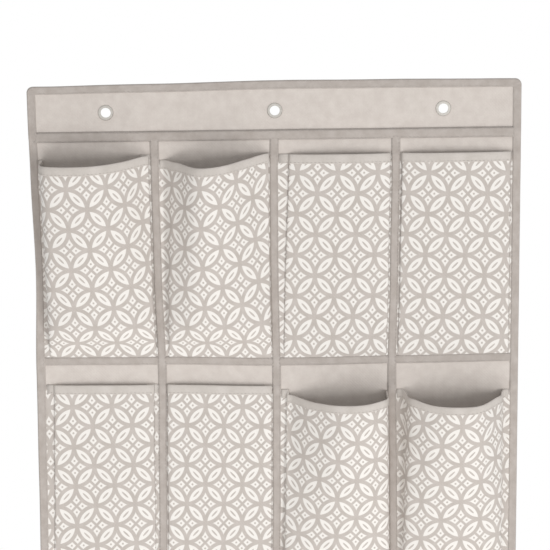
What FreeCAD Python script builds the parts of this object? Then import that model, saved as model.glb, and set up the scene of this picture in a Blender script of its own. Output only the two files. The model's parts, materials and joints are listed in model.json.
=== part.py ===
import FreeCAD, Part
import os
import re
import Sketcher

# Hanging shoe organizer: a soft back panel with a header, six rows of four pleated pockets, tapes
# over every seam, a binding folded over every edge and three metal eyelets to hang it by.
# Millimetres. The origin is the centre of the middle eyelet: X to the right, Y away from the
# viewer, Z up. The panel hangs in the plane Y = 0, the pockets stand out of it towards -Y.
# The panel, the bindings and the divider tapes run from top to bottom in one piece. They are
# divided at the fold lines, halfway down the bare strips, where the organizer folds for storage.

ROWS = 6
COLUMNS = 4
OPEN_POCKETS = [(1, 1), (1, 2), (2, 3), (2, 4)]    # (row, column) of pockets that stand wide open

SIZES = {
    "panel_width": (495, "over the side bindings"),
    "binding_width": (10, "width of the binding on each face of the panel"),
    "tape_width": (10, "divider tapes and header tape"),
    "header_height": (73, "top edge down to the mouths of the first row"),
    "header_tape_drop": (48, "top edge down to the header tape"),
    "pocket_height": (208, "mouth down to the seam tape"),
    "seam_tape_height": (8.5, "tape over the bottom seam of a row"),
    "strip_height": (21, "bare strip between a seam tape and the next row of mouths"),
    "bottom_margin": (12, "bare strip under the last row"),
    "corner_radius": (9, "rounded corners of the panel"),
    "backing_thickness": (0.8, "cloth of the back panel"),
    "cloth_thickness": (0.6, "cloth of the pockets"),
    "tape_thickness": (0.6, "tapes and bindings"),
    "hem_thickness": (0.5, "each leg of the tape folded over a pocket's mouth"),
    "hem_height": (9, "height of that tape"),
    "pocket_depth": (8, "how far a closed pocket stands out"),
    "pocket_corner": (3, "bevel on its upright front edges"),
    "pocket_toe": (25, "height over which its front runs back to the seam"),
    "open_depth": (38, "how far the mouth of an open pocket stands out"),
    "open_belly_depth": (34, "depth of an open pocket at its belly"),
    "open_belly_drop": (80, "mouth down to that belly"),
    "open_toe_depth": (19, "depth of an open pocket where its toe starts"),
    "open_toe": (42, "height of that toe"),
    "open_dip": (9, "how far the front edge of an open mouth sags at its middle"),
    "open_side_share": (0.3, "share of the depth where the straight side turns into the front arc"),
    "seam_edge": (4, "height of the doubled cloth above the seam of an open pocket"),
    "flange_gap": (0.3, "between a pocket's sewn edge and the middle of the tape over it"),
    "edge_gap": (0.3, "between a pocket's side and the edge of the tape beside it"),
    "layer_gap": (0.3, "between a hem and the tape behind it"),
    "fold_gap": (0.4, "between two rows at their fold line"),
    "eyelet_drop": (28.7, "top edge down to the eyelets"),
    "eyelet_spacing": (169, "between eyelets"),
    "eyelet_bore_radius": (5, "clear hole"),
    "eyelet_wall": (0.5, "metal of the barrel"),
    "eyelet_rim": (2.2, "flange outside the barrel"),
    "eyelet_rim_thickness": (0.9, "flange on the front"),
    "eyelet_lip": (1.5, "rolled lip outside the barrel, at the back"),
    "eyelet_lip_thickness": (0.6, "rolled lip"),
    "washer_thickness": (0.5, "washer under the rolled lip"),
    "overshoot": (2, "how far a cut runs past the face that it opens"),
}

# Sizes that follow from those above, as expressions.
COLUMN_WIDTH = f"(panel_width - 2*binding_width - {COLUMNS - 1}*tape_width)/{COLUMNS}"
COLUMN_PITCH = f"({COLUMN_WIDTH} + tape_width)"
ROW_PITCH = "(pocket_height + seam_tape_height + strip_height)"
POCKET_HALF = f"({COLUMN_WIDTH}/2 - edge_gap)"
FLANGE_HALF = f"({COLUMN_WIDTH}/2 + tape_width/2 - flange_gap)"
TAPE_FRONT = "(cloth_thickness + tape_thickness)"
SEAM_FRONT = "(cloth_thickness + 2*tape_thickness)"
BEVEL_GROWTH = "(2 - sqrt(2))"      # how much a 45 degree bevel grows per millimetre of offset
EYELET_BARREL = "(eyelet_bore_radius + eyelet_wall)"
ORIGIN_POINT = (-1, 1)              # the sketcher's own name for a sketch's origin
TOLERANCE = 1e-6

doc = FreeCAD.newDocument("ShoeOrganizer")
sheet = doc.addObject("Spreadsheet::Sheet", "Sizes")
for line, (word, (number, note)) in enumerate(SIZES.items(), start=1):
    sheet.set(f"A{line}", word)
    sheet.set(f"B{line}", str(number))
    sheet.set(f"C{line}", note)
    sheet.setAlias(f"B{line}", word)
doc.recompute()
nodes = []


def bound(text):
    """Write an expression of size names as one that reads the sheet."""
    return re.sub(r"[a-z_]+", lambda word: f"Sizes.{word[0]}" if word[0] in SIZES else word[0], text)


def value(text):
    return float(sheet.evalExpression(bound(text)))


def bind(thing, path, text):
    thing.setExpression(path, bound(text))


def place(thing, x="0", z="0"):
    bind(thing, "Placement.Base.x", x)
    bind(thing, "Placement.Base.z", z)


def mouth_level(row):
    """Height of the mouths of a row of pockets above the eyelets."""
    return f"(eyelet_drop - header_height - {row - 1}*{ROW_PITCH})"


def column_middle(column):
    return f"({column - (COLUMNS + 1) / 2}*{COLUMN_PITCH})"


def keep(thing, label):
    """Name a finished sub-part; its label is the name of its file."""
    thing.Label = label
    nodes.append(thing)


def group(things, label):
    compound = doc.addObject("Part::Compound", label)
    compound.Links = things
    keep(compound, label)


def new_body(name):
    return doc.addObject("PartDesign::Body", name)


def outline(body, name, plane, loops, level="0"):
    """Sketch closed loops on an origin plane, raised by level along its normal.

    A corner is (x, y). One written (x, y, centre_x, centre_y) starts an arc around that centre.
    """
    sketch = body.newObject("Sketcher::SketchObject", name)
    support = next(face for face in body.Origin.OriginFeatures if face.Role == plane)
    sketch.AttachmentSupport = (support, "")
    sketch.MapMode = "FlatFace"
    bind(sketch, "AttachmentOffset.Base.z", level)
    rules = []
    formulas = []
    for loop in loops:
        places = [FreeCAD.Vector(value(corner[0]), value(corner[1]), 0) for corner in loop]
        first = sketch.GeometryCount
        for number, corner in enumerate(loop):
            start, end = places[number], places[(number + 1) % len(loop)]
            if len(corner) == 2:
                sketch.addGeometry(Part.LineSegment(start, end), False)
                continue
            centre = FreeCAD.Vector(value(corner[2]), value(corner[3]), 0)
            outward = (start + end) / 2 - centre
            outward.normalize()
            middle = centre + outward * (start - centre).Length
            sketch.addGeometry(Part.Arc(start, middle, end), False)
        for number, corner in enumerate(loop):
            side = first + number
            before = first + (number - 1) % len(loop)
            here, there = (near_end(sketch, edge, places[number]) for edge in (side, before))
            rules.append(Sketcher.Constraint("Coincident", before, there, side, here))
            formulas.append(None)
            for axis, text in zip(("DistanceX", "DistanceY"), corner):
                rules.append(Sketcher.Constraint(axis, *ORIGIN_POINT, side, here, value(text)))
                formulas.append(text)
            if len(corner) > 2:
                height = Sketcher.Constraint("DistanceY", *ORIGIN_POINT, side, 3, value(corner[3]))
                rules.append(height)
                formulas.append(corner[3])
    for index, text in zip(sketch.addConstraint(rules), formulas):
        if text is not None:
            bind(sketch, f"Constraints[{index}]", text)
    return sketch


def near_end(sketch, edge, point):
    """Tell which end of a sketched edge, 1 or 2, lies at a point."""
    return 1 if (sketch.getPoint(edge, 1) - point).Length < TOLERANCE else 2


def sag_arc(x, edge, low):
    """Start a shallow arc from (-x, edge) to (x, edge) that passes through (0, low)."""
    sag = f"({edge} - ({low}))"
    return (f"-({x})", edge, "0", f"{low} + (({x})^2 + {sag}^2)/(2*{sag})")


def pad(body, sketch, length, both_ways=False):
    feature = body.newObject("PartDesign::Pad", sketch.Name + "_pad")
    feature.Profile = sketch
    feature.Midplane = both_ways
    bind(feature, "Length", length)
    sketch.Visibility = False
    return feature


def cut(body, sketch, length, along_normal=False):
    """Cut a sketch into its body, against the sketch's normal unless told otherwise."""
    feature = body.newObject("PartDesign::Pocket", sketch.Name + "_cut")
    feature.Profile = sketch
    feature.Reversed = along_normal
    bind(feature, "Length", length)
    return feature


def loft(body, sections):
    feature = body.newObject("PartDesign::AdditiveLoft", sections[0].Name + "_loft")
    feature.Profile = sections[0]
    feature.Sections = sections[1:]
    feature.Ruled = True
    return feature


def less(base, tool, name):
    feature = doc.addObject("Part::Cut", name)
    feature.Base = base
    feature.Tool = tool
    return feature


def common(base, tool, name):
    feature = doc.addObject("Part::Common", name)
    feature.Base = base
    feature.Tool = tool
    return feature


# ---- Rows: how far the panel of each row reaches above and below its mouths ----------------------

def row_top(row, top_of_first):
    return top_of_first if row == 1 else "(strip_height/2 - fold_gap/2)"


def row_bottom(row, bottom_of_last="bottom_margin"):
    below = bottom_of_last if row == ROWS else "strip_height/2 - fold_gap/2"
    return f"-(pocket_height + seam_tape_height + {below})"


def back_panel(row):
    """Sheet of backing cloth; the first has the header with its rounded corners and eyelet holes."""
    body = new_body(f"back_panel_{row}")
    half = "(panel_width/2 - tape_thickness)"
    top = row_top(row, "(header_height - tape_thickness)")
    bottom = row_bottom(row, "bottom_margin + binding_width - tape_thickness")
    inset = "(corner_radius - tape_thickness)"
    square_top = [(f"-{half}", top), (half, top)]
    square_bottom = [(half, bottom), (f"-{half}", bottom)]
    round_top = [(f"-{half}", f"{top} - {inset}", f"-({half} - {inset})", f"{top} - {inset}"),
                 (f"-({half} - {inset})", top),
                 (f"{half} - {inset}", top, f"{half} - {inset}", f"{top} - {inset}"),
                 (half, f"{top} - {inset}")]
    round_bottom = [(half, f"{bottom} + {inset}", f"{half} - {inset}", f"{bottom} + {inset}"),
                    (f"{half} - {inset}", bottom),
                    (f"-({half} - {inset})", bottom, f"-({half} - {inset})", f"{bottom} + {inset}"),
                    (f"-{half}", f"{bottom} + {inset}")]
    upper = round_top if row == 1 else square_top
    lower = round_bottom if row == ROWS else square_bottom
    sketch = outline(body, f"panel_{row}", "XZ_Plane", [upper + lower], "-backing_thickness")
    pad(body, sketch, "backing_thickness")
    if row == 1:
        holes = body.newObject("Sketcher::SketchObject", "eyelet_holes")
        support = next(face for face in body.Origin.OriginFeatures if face.Role == "XZ_Plane")
        holes.AttachmentSupport = (support, "")
        holes.MapMode = "FlatFace"
        for number in (-1, 0, 1):
            centre = FreeCAD.Vector(number * value("eyelet_spacing"),
                                    value("header_height - eyelet_drop"), 0)
            edge = holes.addGeometry(Part.Circle(centre, FreeCAD.Vector(0, 0, 1),
                                                 value(EYELET_BARREL)), False)
            for kind, text in (("DistanceX", f"{number}*eyelet_spacing"),
                               ("DistanceY", "header_height - eyelet_drop")):
                rule = Sketcher.Constraint(kind, *ORIGIN_POINT, edge, 3, value(text))
                bind(holes, f"Constraints[{holes.addConstraint(rule)}]", text)
            rule = holes.addConstraint(Sketcher.Constraint("Radius", edge, value(EYELET_BARREL)))
            bind(holes, f"Constraints[{rule}]", EYELET_BARREL)
        cut(body, holes, "backing_thickness + overshoot")
    place(body, z=mouth_level(row))
    keep(body, f"back_panel_row_{row}")


def draped_profile(row, top_of_first):
    """Side view of a tape that lies on the panel, then on pocket edges, then on the seam tape."""
    top = row_top(row, top_of_first)
    bottom = row_bottom(row)
    seam_top = "-pocket_height"
    seam_bottom = "-(pocket_height + seam_tape_height)"
    panel_side = [("0", top), ("0", "0"), ("-cloth_thickness", "0"),
                  ("-cloth_thickness", seam_top), (f"-{TAPE_FRONT}", seam_top),
                  (f"-{TAPE_FRONT}", seam_bottom), ("0", seam_bottom), ("0", bottom)]
    front_side = [("-tape_thickness", bottom),
                  ("-tape_thickness", f"{seam_bottom} - tape_thickness"),
                  (f"-{SEAM_FRONT}", f"{seam_bottom} - tape_thickness"),
                  (f"-{SEAM_FRONT}", f"{seam_top} + tape_thickness"),
                  (f"-{TAPE_FRONT}", f"{seam_top} + tape_thickness"),
                  (f"-{TAPE_FRONT}", "tape_thickness"), ("-tape_thickness", "tape_thickness"),
                  ("-tape_thickness", top)]
    return panel_side, front_side


def divider_tapes(row):
    """Tapes between the columns: each covers the sewn edges of the pockets on its two sides."""
    panel_side, front_side = draped_profile(row, "(header_height - header_tape_drop - tape_width)")
    tapes = []
    for number in range(1, COLUMNS):
        body = new_body(f"divider_{row}_{number}")
        profile = outline(body, f"divider_{row}_{number}_side", "YZ_Plane", [panel_side + front_side])
        pad(body, profile, "tape_width", both_ways=True)
        place(body, column_middle(number + 0.5), mouth_level(row))
        tapes.append(body)
    group(tapes, f"divider_tapes_row_{row}")


def side_bindings(row):
    """Tapes folded over the left and right edges: a front leg, a fold and a back leg each."""
    panel_side, front_side = draped_profile(row, "(header_height - binding_width)")
    top = row_top(row, "(header_height - binding_width)")
    bottom = row_bottom(row)
    back = "backing_thickness + tape_thickness"
    bindings = []
    for side, sign in (("left", -1), ("right", 1)):
        body = new_body(f"binding_{row}_{side}")
        name = f"binding_{row}_{side}"
        middle_of_legs = f"{-sign}*(tape_thickness + (binding_width - tape_thickness)/2)"
        legs = [panel_side + front_side,
                [("backing_thickness", top), (back, top), (back, bottom), ("backing_thickness", bottom)]]
        fold = [(back, top), (back, bottom)] + front_side
        fold_sketch = outline(body, f"{name}_fold", "YZ_Plane", [fold], f"{-sign}*tape_thickness/2")
        pad(body, fold_sketch, "tape_thickness", both_ways=True)
        for part, leg in zip(("front", "back"), legs):
            sketch = outline(body, f"{name}_{part}", "YZ_Plane", [leg], middle_of_legs)
            pad(body, sketch, "binding_width - tape_thickness", both_ways=True)
        place(body, f"{sign}*panel_width/2", mouth_level(row))
        bindings.append(body)
    group(bindings, f"side_bindings_row_{row}")


def edge_binding(label, z, turn):
    """Tape folded over the top or bottom edge, with the panel's rounded corners."""
    body = new_body(label + "_body")

    def arch(inset, reach):
        half = f"(panel_width/2 - {inset})"
        radius = f"(corner_radius - {inset})"
        top = f"(-{inset})"
        return [(f"-{half}", f"{top} - {radius}", f"-({half} - {radius})", f"{top} - {radius}"),
                (f"-({half} - {radius})", top),
                (f"{half} - {radius}", top, f"{half} - {radius}", f"{top} - {radius}"),
                (half, f"{top} - {radius}"), (half, reach), (f"-{half}", reach)]

    whole = outline(body, f"{label}_outside", "XZ_Plane", [arch("0", "-binding_width")],
                    "-(backing_thickness + tape_thickness)")
    pad(body, whole, "backing_thickness + 2*tape_thickness")
    slot = outline(body, f"{label}_slot", "XZ_Plane", [arch("tape_thickness", "-binding_width - overshoot")])
    cut(body, slot, "backing_thickness")
    place(body, z=z)
    body.Placement.Rotation = FreeCAD.Rotation(FreeCAD.Vector(0, 1, 0), turn)
    keep(body, label)


def flat_tape(label, x_half, height, z, level):
    """Plain tape across the panel, hung by its top edge."""
    body = new_body(label + "_body")
    corners = [(f"-{x_half}", "0"), (x_half, "0"), (x_half, f"-{height}"), (f"-{x_half}", f"-{height}")]
    pad(body, outline(body, f"{label}_front", "XZ_Plane", [corners], level), "tape_thickness")
    place(body, z=z)
    keep(body, label)


# ---- Pockets ------------------------------------------------------------------------------------

def plan_corners(offset, back):
    """Plan view of a closed pocket's wall, offset outwards: open at the back, bevelled in front."""
    half = f"({POCKET_HALF} + ({offset}))"
    depth = f"(pocket_depth + ({offset}))"
    bevel = f"(pocket_corner + {BEVEL_GROWTH}*({offset}))"
    left = [(f"-{half}", back), (f"-{half}", f"-({depth} - {bevel})"), (f"-({half} - {bevel})", f"-{depth}")]
    right = [(f"{half} - {bevel}", f"-{depth}"), (half, f"-({depth} - {bevel})"), (half, back)]
    return left + right


def closed_tray(name, offset, top, back, seam_y):
    """Solid of the shape of a closed pocket, offset outwards from its outer face."""
    body = new_body(name)
    depth = f"(pocket_depth + ({offset}))"
    half = f"({POCKET_HALF} + ({offset}))"
    bevel = f"(pocket_corner + {BEVEL_GROWTH}*({offset}))"
    side = [(back, top), (f"-{depth}", top), (f"-{depth}", "-(pocket_height - pocket_toe)"),
            (seam_y, "-pocket_height"), (back, "-pocket_height")]
    pad(body, outline(body, f"{name}_side", "YZ_Plane", [side]), f"2*{half}", both_ways=True)
    corners = [[(f"{sign}*({half} - {bevel})", f"-{depth}"),
                (f"{sign}*({half} - {bevel})", f"-({depth} + overshoot)"),
                (f"{sign}*({half} + overshoot)", f"-({depth} + overshoot)"),
                (f"{sign}*({half} + overshoot)", f"-({depth} - {bevel})"),
                (f"{sign}*{half}", f"-({depth} - {bevel})")] for sign in (-1, 1)]
    cut(body, outline(body, f"{name}_bevels", "XY_Plane", corners, top), f"pocket_height + {top}")
    return body


def sewn_edges(body, name):
    """Flat edge of the pocket cloth, sewn down under the tapes around it."""
    corners = [(f"-{FLANGE_HALF}", "0"), (FLANGE_HALF, "0"),
               (FLANGE_HALF, "-(pocket_height + seam_tape_height)"),
               (f"-{FLANGE_HALF}", "-(pocket_height + seam_tape_height)")]
    pad(body, outline(body, f"{name}_edges", "XZ_Plane", [corners]), "cloth_thickness")


def closed_pocket(name):
    outside = closed_tray(f"{name}_outside", "0", "0", "0", "-cloth_thickness")
    sewn_edges(outside, name)
    inside = closed_tray(f"{name}_inside", "-cloth_thickness", "overshoot", "overshoot", "0")
    return less(outside, inside, f"{name}_cloth")


def closed_hem(name):
    """Solid band around a closed pocket's mouth, as thick as both legs of its tape and the wall."""
    body = new_body(f"{name}_hem_band")
    start = f"-({TAPE_FRONT} + layer_gap)"
    outer = plan_corners("hem_thickness", start)
    inner = plan_corners("-cloth_thickness - hem_thickness", start)
    tape = outline(body, f"{name}_hem_plan", "XY_Plane", [outer + inner[::-1]], "-hem_height")
    pad(body, tape, "hem_height + hem_thickness")
    return body


OPEN_LEVELS = [("overshoot", "open_depth"), ("0", "open_depth"), ("-open_belly_drop", "open_belly_depth"),
               ("-(pocket_height - open_toe)", "open_toe_depth")]
SEAM_DEPTH = "2*cloth_thickness"
LIP_HALF = f"({POCKET_HALF} + overshoot)"


def open_form(name, offset, levels, back):
    """Solid of the shape of an open pocket: straight sides, a front arc, less deep towards the seam."""
    body = new_body(name)
    half = f"({POCKET_HALF} + ({offset}))"
    sections = []
    for number, (z, pocket_depth) in enumerate(levels):
        depth = f"({pocket_depth} + ({offset}))"
        edge = f"-open_side_share*{depth}"
        front = sag_arc(half, edge, f"-{depth}")
        loop = [(half, back), (f"-{half}", back), front, (half, edge)]
        sections.append(outline(body, f"{name}_level_{number}", "XY_Plane", [loop], z))
    loft(body, sections)
    return body


def open_pocket(name):
    outside = open_form(f"{name}_outside", "0", OPEN_LEVELS[1:] + [("-pocket_height", SEAM_DEPTH)], "0")
    sewn_edges(outside, name)
    dip = [sag_arc(LIP_HALF, "0", "-open_dip"), (LIP_HALF, "0"), (LIP_HALF, "overshoot"),
           (f"-{LIP_HALF}", "overshoot")]
    cut(outside, outline(outside, f"{name}_dip", "XZ_Plane", [dip], "cloth_thickness"),
        "open_depth + overshoot", along_normal=True)
    seam_inside = f"({SEAM_DEPTH} + (open_toe_depth - {SEAM_DEPTH})*seam_edge/open_toe)"
    inside = open_form(f"{name}_inside", "-cloth_thickness",
                       OPEN_LEVELS + [("-(pocket_height - seam_edge)", seam_inside)], "overshoot")
    return less(outside, inside, f"{name}_cloth")


def open_hem(name):
    """Solid band around an open pocket's mouth, which sags in front."""
    outer = open_form(f"{name}_hem_outer", "hem_thickness", OPEN_LEVELS[:3], "0")
    inner = open_form(f"{name}_hem_inner", "-cloth_thickness - hem_thickness", OPEN_LEVELS[:3], "overshoot")
    band = new_body(f"{name}_hem_band")
    low_right = (LIP_HALF, "-hem_height")
    upper = sag_arc(LIP_HALF, "hem_thickness", "hem_thickness - open_dip")
    lower = sag_arc(LIP_HALF, "-hem_height", "-hem_height - open_dip")
    loop = [upper, (LIP_HALF, "hem_thickness"), low_right + lower[2:], (f"-{LIP_HALF}", "-hem_height")]
    sketch = outline(band, f"{name}_hem_front", "XZ_Plane", [loop], f"{TAPE_FRONT} + layer_gap")
    pad(band, sketch, "open_depth + overshoot")
    return common(less(outer, inner, f"{name}_hem_ring"), band, f"{name}_hem_part")


def pocket_row(row):
    """Four pockets and their hems; a hem is the band around the mouth without the cloth inside it."""
    hems = []
    for column in range(1, COLUMNS + 1):
        name = f"pocket_{row}_{column}"
        is_open = (row, column) in OPEN_POCKETS
        cloth = open_pocket(name) if is_open else closed_pocket(name)
        band = open_hem(name) if is_open else closed_hem(name)
        for thing in (cloth, band):
            place(thing, column_middle(column), mouth_level(row))
        keep(cloth, f"pocket_row_{row}_column_{column}")
        hems.append(less(band, cloth, f"{name}_hem"))
    group(hems, f"pocket_hems_row_{row}")


# ---- Eyelets ------------------------------------------------------------------------------------

def ring(name, corners):
    """Turned ring around the Y axis; a corner is (radius, y)."""
    body = new_body(name)
    feature = body.newObject("PartDesign::Revolution", f"{name}_turn")
    feature.Profile = outline(body, f"{name}_section", "XY_Plane", [corners])
    feature.ReferenceAxis = (next(a for a in body.Origin.OriginFeatures if a.Role == "Y_Axis"), [""])
    return body


def eyelets():
    back = "(backing_thickness + washer_thickness)"
    rim = f"({EYELET_BARREL} + eyelet_rim)"
    lip = f"({EYELET_BARREL} + eyelet_lip)"
    section = [("eyelet_bore_radius", "-eyelet_rim_thickness"),
               (f"{rim} - eyelet_rim_thickness/2", "-eyelet_rim_thickness"),
               (rim, "-eyelet_rim_thickness/2"), (rim, "0"), (EYELET_BARREL, "0"),
               (EYELET_BARREL, back), (lip, back), (lip, f"{back} + eyelet_lip_thickness/2"),
               (f"{lip} - eyelet_lip_thickness/2", f"{back} + eyelet_lip_thickness"),
               ("eyelet_bore_radius", f"{back} + eyelet_lip_thickness")]
    washer = [(EYELET_BARREL, "backing_thickness"), (rim, "backing_thickness"), (rim, back),
              (EYELET_BARREL, back)]
    for label, corners in (("eyelets", section), ("eyelet_washers", washer)):
        rings = []
        for number in (-1, 0, 1):
            body = ring(f"{label}_{number + 2}", corners)
            place(body, f"{number}*eyelet_spacing")
            rings.append(body)
        group(rings, label)


# ---- Assembly -----------------------------------------------------------------------------------

for row in range(1, ROWS + 1):
    back_panel(row)
    side_bindings(row)
    divider_tapes(row)
    pocket_row(row)
    flat_tape(f"seam_tape_row_{row}", "(panel_width/2 - tape_width/2)", "seam_tape_height",
              f"{mouth_level(row)} - pocket_height", "cloth_thickness")
flat_tape("header_tape", "(panel_width/2 - binding_width)", "tape_width",
          "eyelet_drop - header_tape_drop", "0")
edge_binding("top_binding", "eyelet_drop", 0)
edge_binding("bottom_binding", f"{mouth_level(ROWS)} + ({row_bottom(ROWS)}) - binding_width", 180)
eyelets()
doc.recompute()

for thing in doc.Objects:
    if {"Invalid", "Error"} & set(thing.State):
        raise RuntimeError(f"{thing.Label} did not build: {thing.State}")
for node in nodes:
    if node.Shape.isNull() or not node.Shape.isValid() or not node.Shape.Solids:
        raise RuntimeError(f"{node.Label} is not a valid solid")
os.makedirs("parts", exist_ok=True)
for node in nodes:
    node.Shape.exportStep(f"parts/{node.Label}.step")
print(f"{len(nodes)} sub-parts, {sum(len(node.Shape.Solids) for node in nodes)} solids")
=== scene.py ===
# %% [markdown]
# # A hanging shoe organizer
#
# The object is one sheet of soft non-woven cloth with six rows of four sewn pockets, edged with folded tape
# and hung from three eyelets. The measured model gives every place: the pieces below are bent into the
# space that its parts hold. All lengths are written in millimetres, as a maker would cut them, and become
# metres when a point is placed.

# %% The measured model
import json
import math
import random
from bisect import bisect_left
from functools import lru_cache

import bmesh
import bpy
from mathutils import Matrix, Vector, noise

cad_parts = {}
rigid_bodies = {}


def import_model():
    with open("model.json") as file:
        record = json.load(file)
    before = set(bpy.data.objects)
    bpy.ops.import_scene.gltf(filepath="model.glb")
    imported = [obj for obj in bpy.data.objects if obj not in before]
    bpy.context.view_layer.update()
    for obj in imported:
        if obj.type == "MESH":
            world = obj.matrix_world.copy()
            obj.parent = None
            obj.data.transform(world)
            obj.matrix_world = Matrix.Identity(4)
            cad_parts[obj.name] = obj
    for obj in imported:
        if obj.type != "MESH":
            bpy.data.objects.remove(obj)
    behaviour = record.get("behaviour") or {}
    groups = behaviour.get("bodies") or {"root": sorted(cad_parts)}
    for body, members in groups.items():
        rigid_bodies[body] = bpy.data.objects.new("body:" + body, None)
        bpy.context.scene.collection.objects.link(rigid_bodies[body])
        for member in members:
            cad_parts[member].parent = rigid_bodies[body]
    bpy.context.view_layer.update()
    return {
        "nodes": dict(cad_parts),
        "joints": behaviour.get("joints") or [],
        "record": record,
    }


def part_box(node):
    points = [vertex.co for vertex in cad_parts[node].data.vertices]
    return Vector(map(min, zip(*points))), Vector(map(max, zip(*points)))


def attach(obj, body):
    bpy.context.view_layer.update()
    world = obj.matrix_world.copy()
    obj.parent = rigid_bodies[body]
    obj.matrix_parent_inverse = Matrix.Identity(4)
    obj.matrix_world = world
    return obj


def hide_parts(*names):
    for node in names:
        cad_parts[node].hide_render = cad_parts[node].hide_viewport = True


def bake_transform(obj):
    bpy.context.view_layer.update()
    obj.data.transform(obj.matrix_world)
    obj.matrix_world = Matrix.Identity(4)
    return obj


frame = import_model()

MM = 0.001

# %% [markdown]
# Every position is read from the measured parts. A part's lowest and highest corners give the levels of the
# mouths, the seam tapes and the folds, so a change in the model moves the cloth with it.

# %% Levels and widths
ROWS = range(1, 7)
COLUMNS = range(1, 5)


def corners(node):
    low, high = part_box(node)
    return low / MM, high / MM


def lowest(node):
    return corners(node)[0].z


def highest(node):
    return corners(node)[1].z


HALF = corners("side_bindings_row_1")[1].x
TOP = highest("top_binding")
BOTTOM = lowest("bottom_binding")
HEADER_TAPE = lowest("header_tape"), highest("header_tape")
TAPE = HEADER_TAPE[1] - HEADER_TAPE[0]
PITCH = (2 * HALF - TAPE) / 4
MIDDLES = [(c - 2.5) * PITCH for c in COLUMNS]
DIVIDERS = [-PITCH, 0.0, PITCH]
OPENING = (PITCH - TAPE) / 2
MOUTH = {r: max(highest(f"pocket_row_{r}_column_{c}") for c in COLUMNS) for r in ROWS}
SEAM = {r: (lowest(f"seam_tape_row_{r}"), highest(f"seam_tape_row_{r}")) for r in ROWS}
FOLDS = [j["pos_m"][2] / MM for j in frame["joints"]]
EYELETS = [m["pos_m"][0] / MM for m in frame["record"]["mounts"]]
HEIGHT = MOUTH[1] - SEAM[1][1]
HEM = 9.0             # height of the plain strip over each mouth
print("mouths at", [round(z, 1) for z in MOUTH.values()], "folds at", [round(z, 1) for z in FOLDS])
print("pocket height", round(HEIGHT, 1), "opening", round(2 * OPENING, 1), "tape", round(TAPE, 1))

# %% [markdown]
# ## Camera
#
# The organizer is seen from a little above its top edge, from far away with a long lens, so that upright
# tapes stay nearly upright. Turning the camera about its own axes in order, heading, tilt and then roll,
# keeps each angle simple.

# %% Camera
camera = bpy.data.objects.new("camera", bpy.data.cameras.new("camera"))
bpy.context.scene.collection.objects.link(camera)
camera.data.lens = 144.86
camera.data.sensor_width = 36.0
heading = Matrix.Rotation(-0.0169, 4, "Z")
tilt = Matrix.Rotation(math.pi / 2 - 0.2098, 4, "X")
roll = Matrix.Rotation(-0.0108, 4, "Z")
camera.matrix_world = Matrix.Translation((-0.0387, -2.2, 0.3003)) @ heading @ tilt @ roll
bpy.context.scene.camera = camera
print("camera", camera.data.lens, "mm lens")

# %% [markdown]
# ## Floor and light
#
# A pale disc under the organizer stands for a studio floor. The light is soft: a bright room all round, a
# large panel far off to the right that puts gentle shade on the left of each fold, and a small low one that
# lifts the lower rows. The room looks white to the camera and in reflections, and lights the cloth with a
# little more than half of that.

# %% Floor and light
bm = bmesh.new()
bmesh.ops.create_circle(bm, cap_ends=True, segments=96, radius=2.8)
bmesh.ops.translate(bm, vec=(0, 0.1, (BOTTOM - 25) * MM), verts=bm.verts)
floor_mesh = bpy.data.meshes.new("floor")
bm.to_mesh(floor_mesh)
bm.free()
floor = bpy.data.objects.new("floor", floor_mesh)
bpy.context.scene.collection.objects.link(floor)

scene = bpy.context.scene
scene.view_settings.view_transform = "Standard"
room = bpy.data.worlds.new("room")
room.use_nodes = True
scene.world = room
ROOM_LIGHT = 0.54


def lamp(name, place, aim, size, power):
    light = bpy.data.lights.new(name, "AREA")
    light.shape = "SQUARE"
    light.size = size
    light.energy = power
    lit = bpy.data.objects.new(name, light)
    lit.location = place
    lit.visible_camera = False
    lit.rotation_mode = "QUATERNION"
    lit.rotation_quaternion = (Vector(aim) - Vector(place)).to_track_quat("-Z", "Y")
    scene.collection.objects.link(lit)
    return lit


lamp("front_panel", (2.3, -3.6, -0.7), (0, 0, -0.4), 1.5, 68)
low_panel = lamp("low_panel", (-0.6, -1.7, -1.2), (-0.12, 0, -0.5), 0.8, 8.5)
print("two lamps and a bright room")

# %% [markdown]
# ## Building materials
#
# A material is a small network of nodes. One helper adds a node, sets it up and joins its inputs, and one
# turns the usual sRGB hex colours into the linear values that the renderer needs.

# %% Colour and node helpers
def linear(code):
    parts = [int(code[i:i + 2], 16) / 255 for i in (1, 3, 5)]
    return (*[c / 12.92 if c <= 0.04045 else ((c + 0.055) / 1.055) ** 2.4 for c in parts], 1.0)


def add(tree, kind, *inputs, **settings):
    made = tree.nodes.new("ShaderNode" + kind)
    for name, value in settings.items():
        setattr(made, name, value)
    for socket, value in zip(made.inputs, inputs):
        if isinstance(value, bpy.types.NodeSocket):
            tree.links.new(value, socket)
        elif value is not None:
            socket.default_value = value
    return made.outputs[0]


def new_material(name, roughness, metallic=0.0):
    made = bpy.data.materials.new(name)
    made.use_nodes = True
    shader = made.node_tree.nodes["Principled BSDF"]
    shader.inputs["Roughness"].default_value = roughness
    shader.inputs["Metallic"].default_value = metallic
    return made, made.node_tree, shader


bright = room.node_tree.nodes["Background"]
bright.inputs["Color"].default_value = (1, 1, 1, 1)
seen = room.node_tree.nodes.new("ShaderNodeLightPath")
straight = add(room.node_tree, "Math", seen.outputs["Is Camera Ray"], seen.outputs["Is Glossy Ray"],
               operation="MAXIMUM")
strength = add(room.node_tree, "MapRange", straight, 0.0, 1.0, ROOM_LIGHT, 1.0)
room.node_tree.links.new(strength, bright.inputs["Strength"])

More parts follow.
